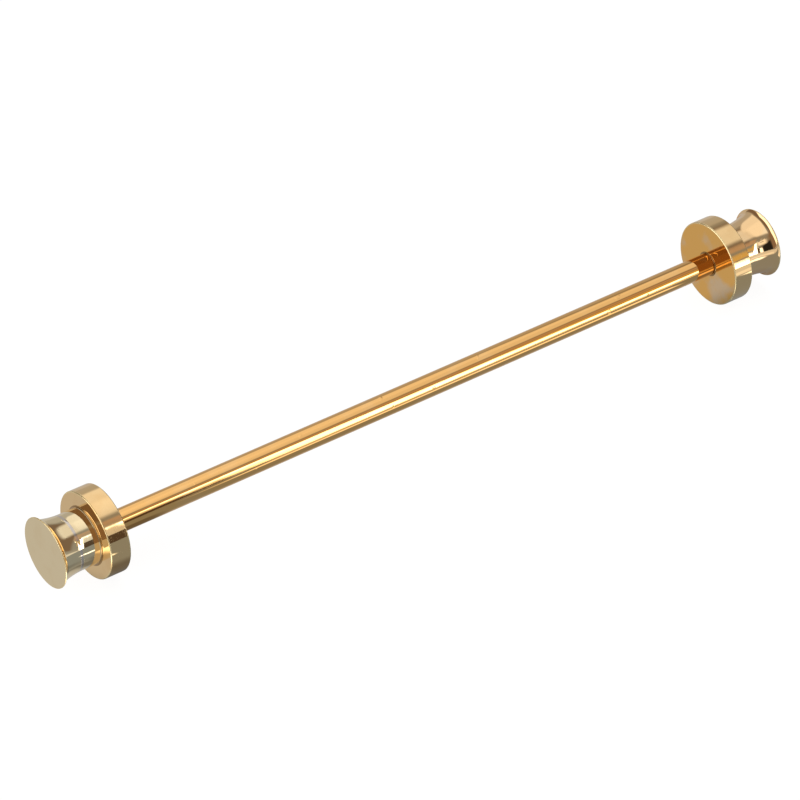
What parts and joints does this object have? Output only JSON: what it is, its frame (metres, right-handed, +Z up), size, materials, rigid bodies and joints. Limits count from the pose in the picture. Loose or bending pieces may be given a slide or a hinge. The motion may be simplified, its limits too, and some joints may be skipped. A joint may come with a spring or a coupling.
{
  "type": "collar bar",
  "caption": "Slim straight rod for pinned shirt collars, with a thick round disc and a flared screw-off knob on each end.",
  "frame": {"origin": "middle of the rod, on its axis", "axes": "+X along the rod towards the right end, +Z up as the bar lies across a collar"},
  "size_m": [0.06, 0.0062, 0.0062],
  "materials": {
    "polished_gold": "mirror-polished gold plating",
    "pale_gold": "mirror-polished paler gold plating",
    "plain_brass": "machined, as cut",
    "solder_silver": "bare silver solder, smooth"
  },
  "bodies": {
    "bar": {"rod": "polished_gold", "left_stud": "plain_brass", "right_stud": "plain_brass"},
    "left_disc": {"left_disc": "polished_gold"},
    "left_knob": {"left_neck": "pale_gold", "left_seam_ring": "solder_silver", "left_cap": "pale_gold"},
    "right_disc": {"right_disc": "polished_gold"},
    "right_knob": {"right_neck": "polished_gold", "right_seam_ring": "polished_gold", "right_cap": "polished_gold"}
  },
  "joints": [
    {"name": "left_disc_slide", "type": "slide", "parent": "bar", "child": "left_disc", "axis": [-1, 0, 0], "range_m": [0, 0.005]},
    {"name": "left_knob_turn", "type": "hinge", "parent": "left_disc", "child": "left_knob", "pos_m": [-0.0269, 0, 0], "axis": [-1, 0, 0], "range_deg": [0, 7200]},
    {"name": "right_disc_slide", "type": "slide", "parent": "bar", "child": "right_disc", "axis": [1, 0, 0], "range_m": [0, 0.005]},
    {"name": "right_knob_turn", "type": "hinge", "parent": "right_disc", "child": "right_knob", "pos_m": [0.0269, 0, 0], "axis": [1, 0, 0], "range_deg": [0, 7200]}
  ],
  "couplings": [
    {"joint": "left_knob_turn", "follows": "left_disc_slide", "rad_per_m": 25133},
    {"joint": "right_knob_turn", "follows": "right_disc_slide", "rad_per_m": 25133}
  ]
}
